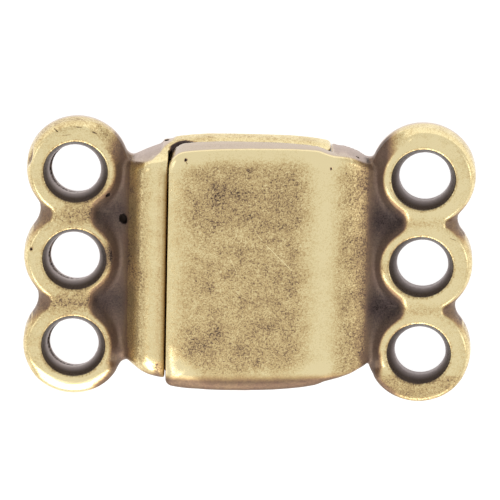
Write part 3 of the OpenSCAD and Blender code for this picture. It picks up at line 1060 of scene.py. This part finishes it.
def build_clasp():
    """Both castings and both rows of magnets, riding on their bodies."""
    brass = antique_brass()
    nickel = nickel_plate()
    rubbed = rubbed_surface(whole_clasp)
    skin = cast_skin_tree()
    ys = spaced([(-8.8, 8.8, 0.088)])
    base_xs = spaced([(-13.55, -8.9, 0.08), (-8.9, -4.5, 0.085), (-4.5, 4.5, 0.18), (4.5, 4.9, 0.08)])
    base_zs = spaced([(-0.12, 3.24, 0.08)])
    cover_xs = spaced([(-5.0, -3.4, 0.08), (-3.4, 3.6, 0.16), (3.6, 6.9, 0.12), (6.9, 13.55, 0.082)])
    cover_zs = spaced([(-0.12, 3.64, 0.08)])
    halves = (
        ("base_casting", "base_half", "base", base_half, base_xs, base_zs, BASE, 3.0),
        ("cover_casting", "cover_half", "cover", cover_half, cover_xs, cover_zs, COVER, 8.0),
    )
    for name, node, body, distance, xs, zs, half, seed in halves:
        rough = casting(name + "_rough", distance, xs, ys, zs, rubbed, half)
        values = {
            "Unevenness": UNEVENNESS * MM, "Lump size": LUMP_SIZE * MM, "Seed": seed, "Finish": brass}
        made = grown(name, skin, values, rough)
        made.data.shade_smooth()
        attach(made, body)
        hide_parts(node)
    discs = disc_magnet_tree()
    rows = (
        ("base_discs", "base", RECESS_FLOOR - MAGNET_T + MAGNET_GAP, MAGNET_T - MAGNET_GAP),
        ("cover_discs", "cover", BOSS_FACE, MAGNET_T),
    )
    for name, body, foot, thickness in rows:
        values = {
            "Count": 3, "Pitch": MAGNET_PITCH * MM, "Radius": MAGNET_R * MM, "Thickness": thickness * MM,
            "Edge": MAGNET_EDGE * MM, "Foot": foot * MM, "Finish": nickel}
        made = grown(name, discs, values)
        made.data.shade_smooth()
        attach(made, body)
        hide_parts(*[f"{body}_magnet_{i}" for i in (1, 2, 3)])


# Floor in metres: half its width, and how far it lies under the clasp.
FLOOR_HALF = 1.5
FLOOR_DROP = 0.00002


def build_floor():
    """Plain near-white floor, lit from within as a light table is."""
    made, start, end = new_finish("light_table")
    glow = start.node("ShaderNodeEmission", {"Color": (1, 1, 1, 1), "Strength": 0.9})
    paper = start.node("ShaderNodeBsdfDiffuse", {"Color": (0.3, 0.3, 0.3, 1)})
    both = start.node("ShaderNodeAddShader", {0: glow, 1: paper})
    mesh = bpy.data.meshes.new("floor")
    corners = [(x * FLOOR_HALF, y * FLOOR_HALF, -FLOOR_DROP) for x, y in ((-1, -1), (1, -1), (1, 1), (-1, 1))]
    mesh.from_pydata(corners, [], [(0, 1, 2, 3)])
    mesh.materials.append(close_finish(made, both, end))
    floor = new_object("floor", mesh)


# Lights, in metres and watts: name, direction from the clasp, size and power.
LIGHT_DISTANCE = 0.25
SOFT_BOXES = (
    ("front_box", (-0.12, -0.80, 0.54), (0.30, 0.14), 0.34),
    ("left_box", (-0.9, 0.1, 0.55), (0.10, 0.10), 0.02),
    ("right_box", (0.9, -0.1, 0.5), (0.10, 0.10), 0.035),
)
ROOM_STRENGTH = 0.88


def build_lights():
    """White room with three soft boxes that face the clasp."""
    world = bpy.data.worlds.new("white_room")
    world.use_nodes = True
    bpy.context.scene.world = world
    room = world.node_tree.nodes["Background"]
    room.inputs["Color"].default_value = (1, 1, 1, 1)
    room.inputs["Strength"].default_value = ROOM_STRENGTH
    for name, direction, size, power in SOFT_BOXES:
        light = bpy.data.lights.new(name, "AREA")
        light.shape = "RECTANGLE"
        light.size, light.size_y = size
        light.energy = power
        made = new_object(name, light)
        away = Vector(direction).normalized()
        made.location = away * LIGHT_DISTANCE
        made.rotation_mode = "QUATERNION"
        made.rotation_quaternion = (-away).to_track_quat("-Z", "Y")


# The photograph's view: lean from straight above, turn and roll in degrees, scale, and the pixel
# that the clasp's middle is seen at.
LEAN = 20.0
TURN = 0.3
ROLL = 1.2
MM_PER_PIXEL = 0.0594
PHOTO_SIZE = 500
MIDDLE_PIXEL = (248.5, 263.75)
LENS_MM = 600
SENSOR_MM = 36


def build_camera():
    """Camera with a very long lens, where the photograph was taken from."""
    towards = Vector((math.tan(math.radians(TURN)), math.tan(math.radians(LEAN)), 1)).normalized()
    right = Vector((0, 1, 0)).cross(towards).normalized()
    up = towards.cross(right)
    roll = math.radians(ROLL)
    image_right = right * math.cos(roll) + up * math.sin(roll)
    image_up = up * math.cos(roll) - right * math.sin(roll)
    camera = bpy.data.cameras.new("camera")
    camera.lens = LENS_MM
    camera.sensor_width = SENSOR_MM
    width = PHOTO_SIZE * MM_PER_PIXEL * MM
    distance = width * LENS_MM / SENSOR_MM
    camera.clip_start = 0.01
    camera.clip_end = 10
    off_right = (PHOTO_SIZE / 2 - MIDDLE_PIXEL[0]) * MM_PER_PIXEL * MM
    off_up = (MIDDLE_PIXEL[1] - PHOTO_SIZE / 2) * MM_PER_PIXEL * MM
    aim = Vector((0, 0, LOOP_T * MM)) + image_right * off_right + image_up * off_up
    made = new_object("camera", camera)
    turn = Matrix((image_right, image_up, towards)).transposed()
    made.rotation_mode = "QUATERNION"
    made.rotation_quaternion = turn.to_quaternion()
    made.location = aim + towards * distance
    bpy.context.scene.camera = made


bpy.context.scene.view_settings.view_transform = "Standard"
build_camera()
build_lights()
build_floor()
build_clasp()
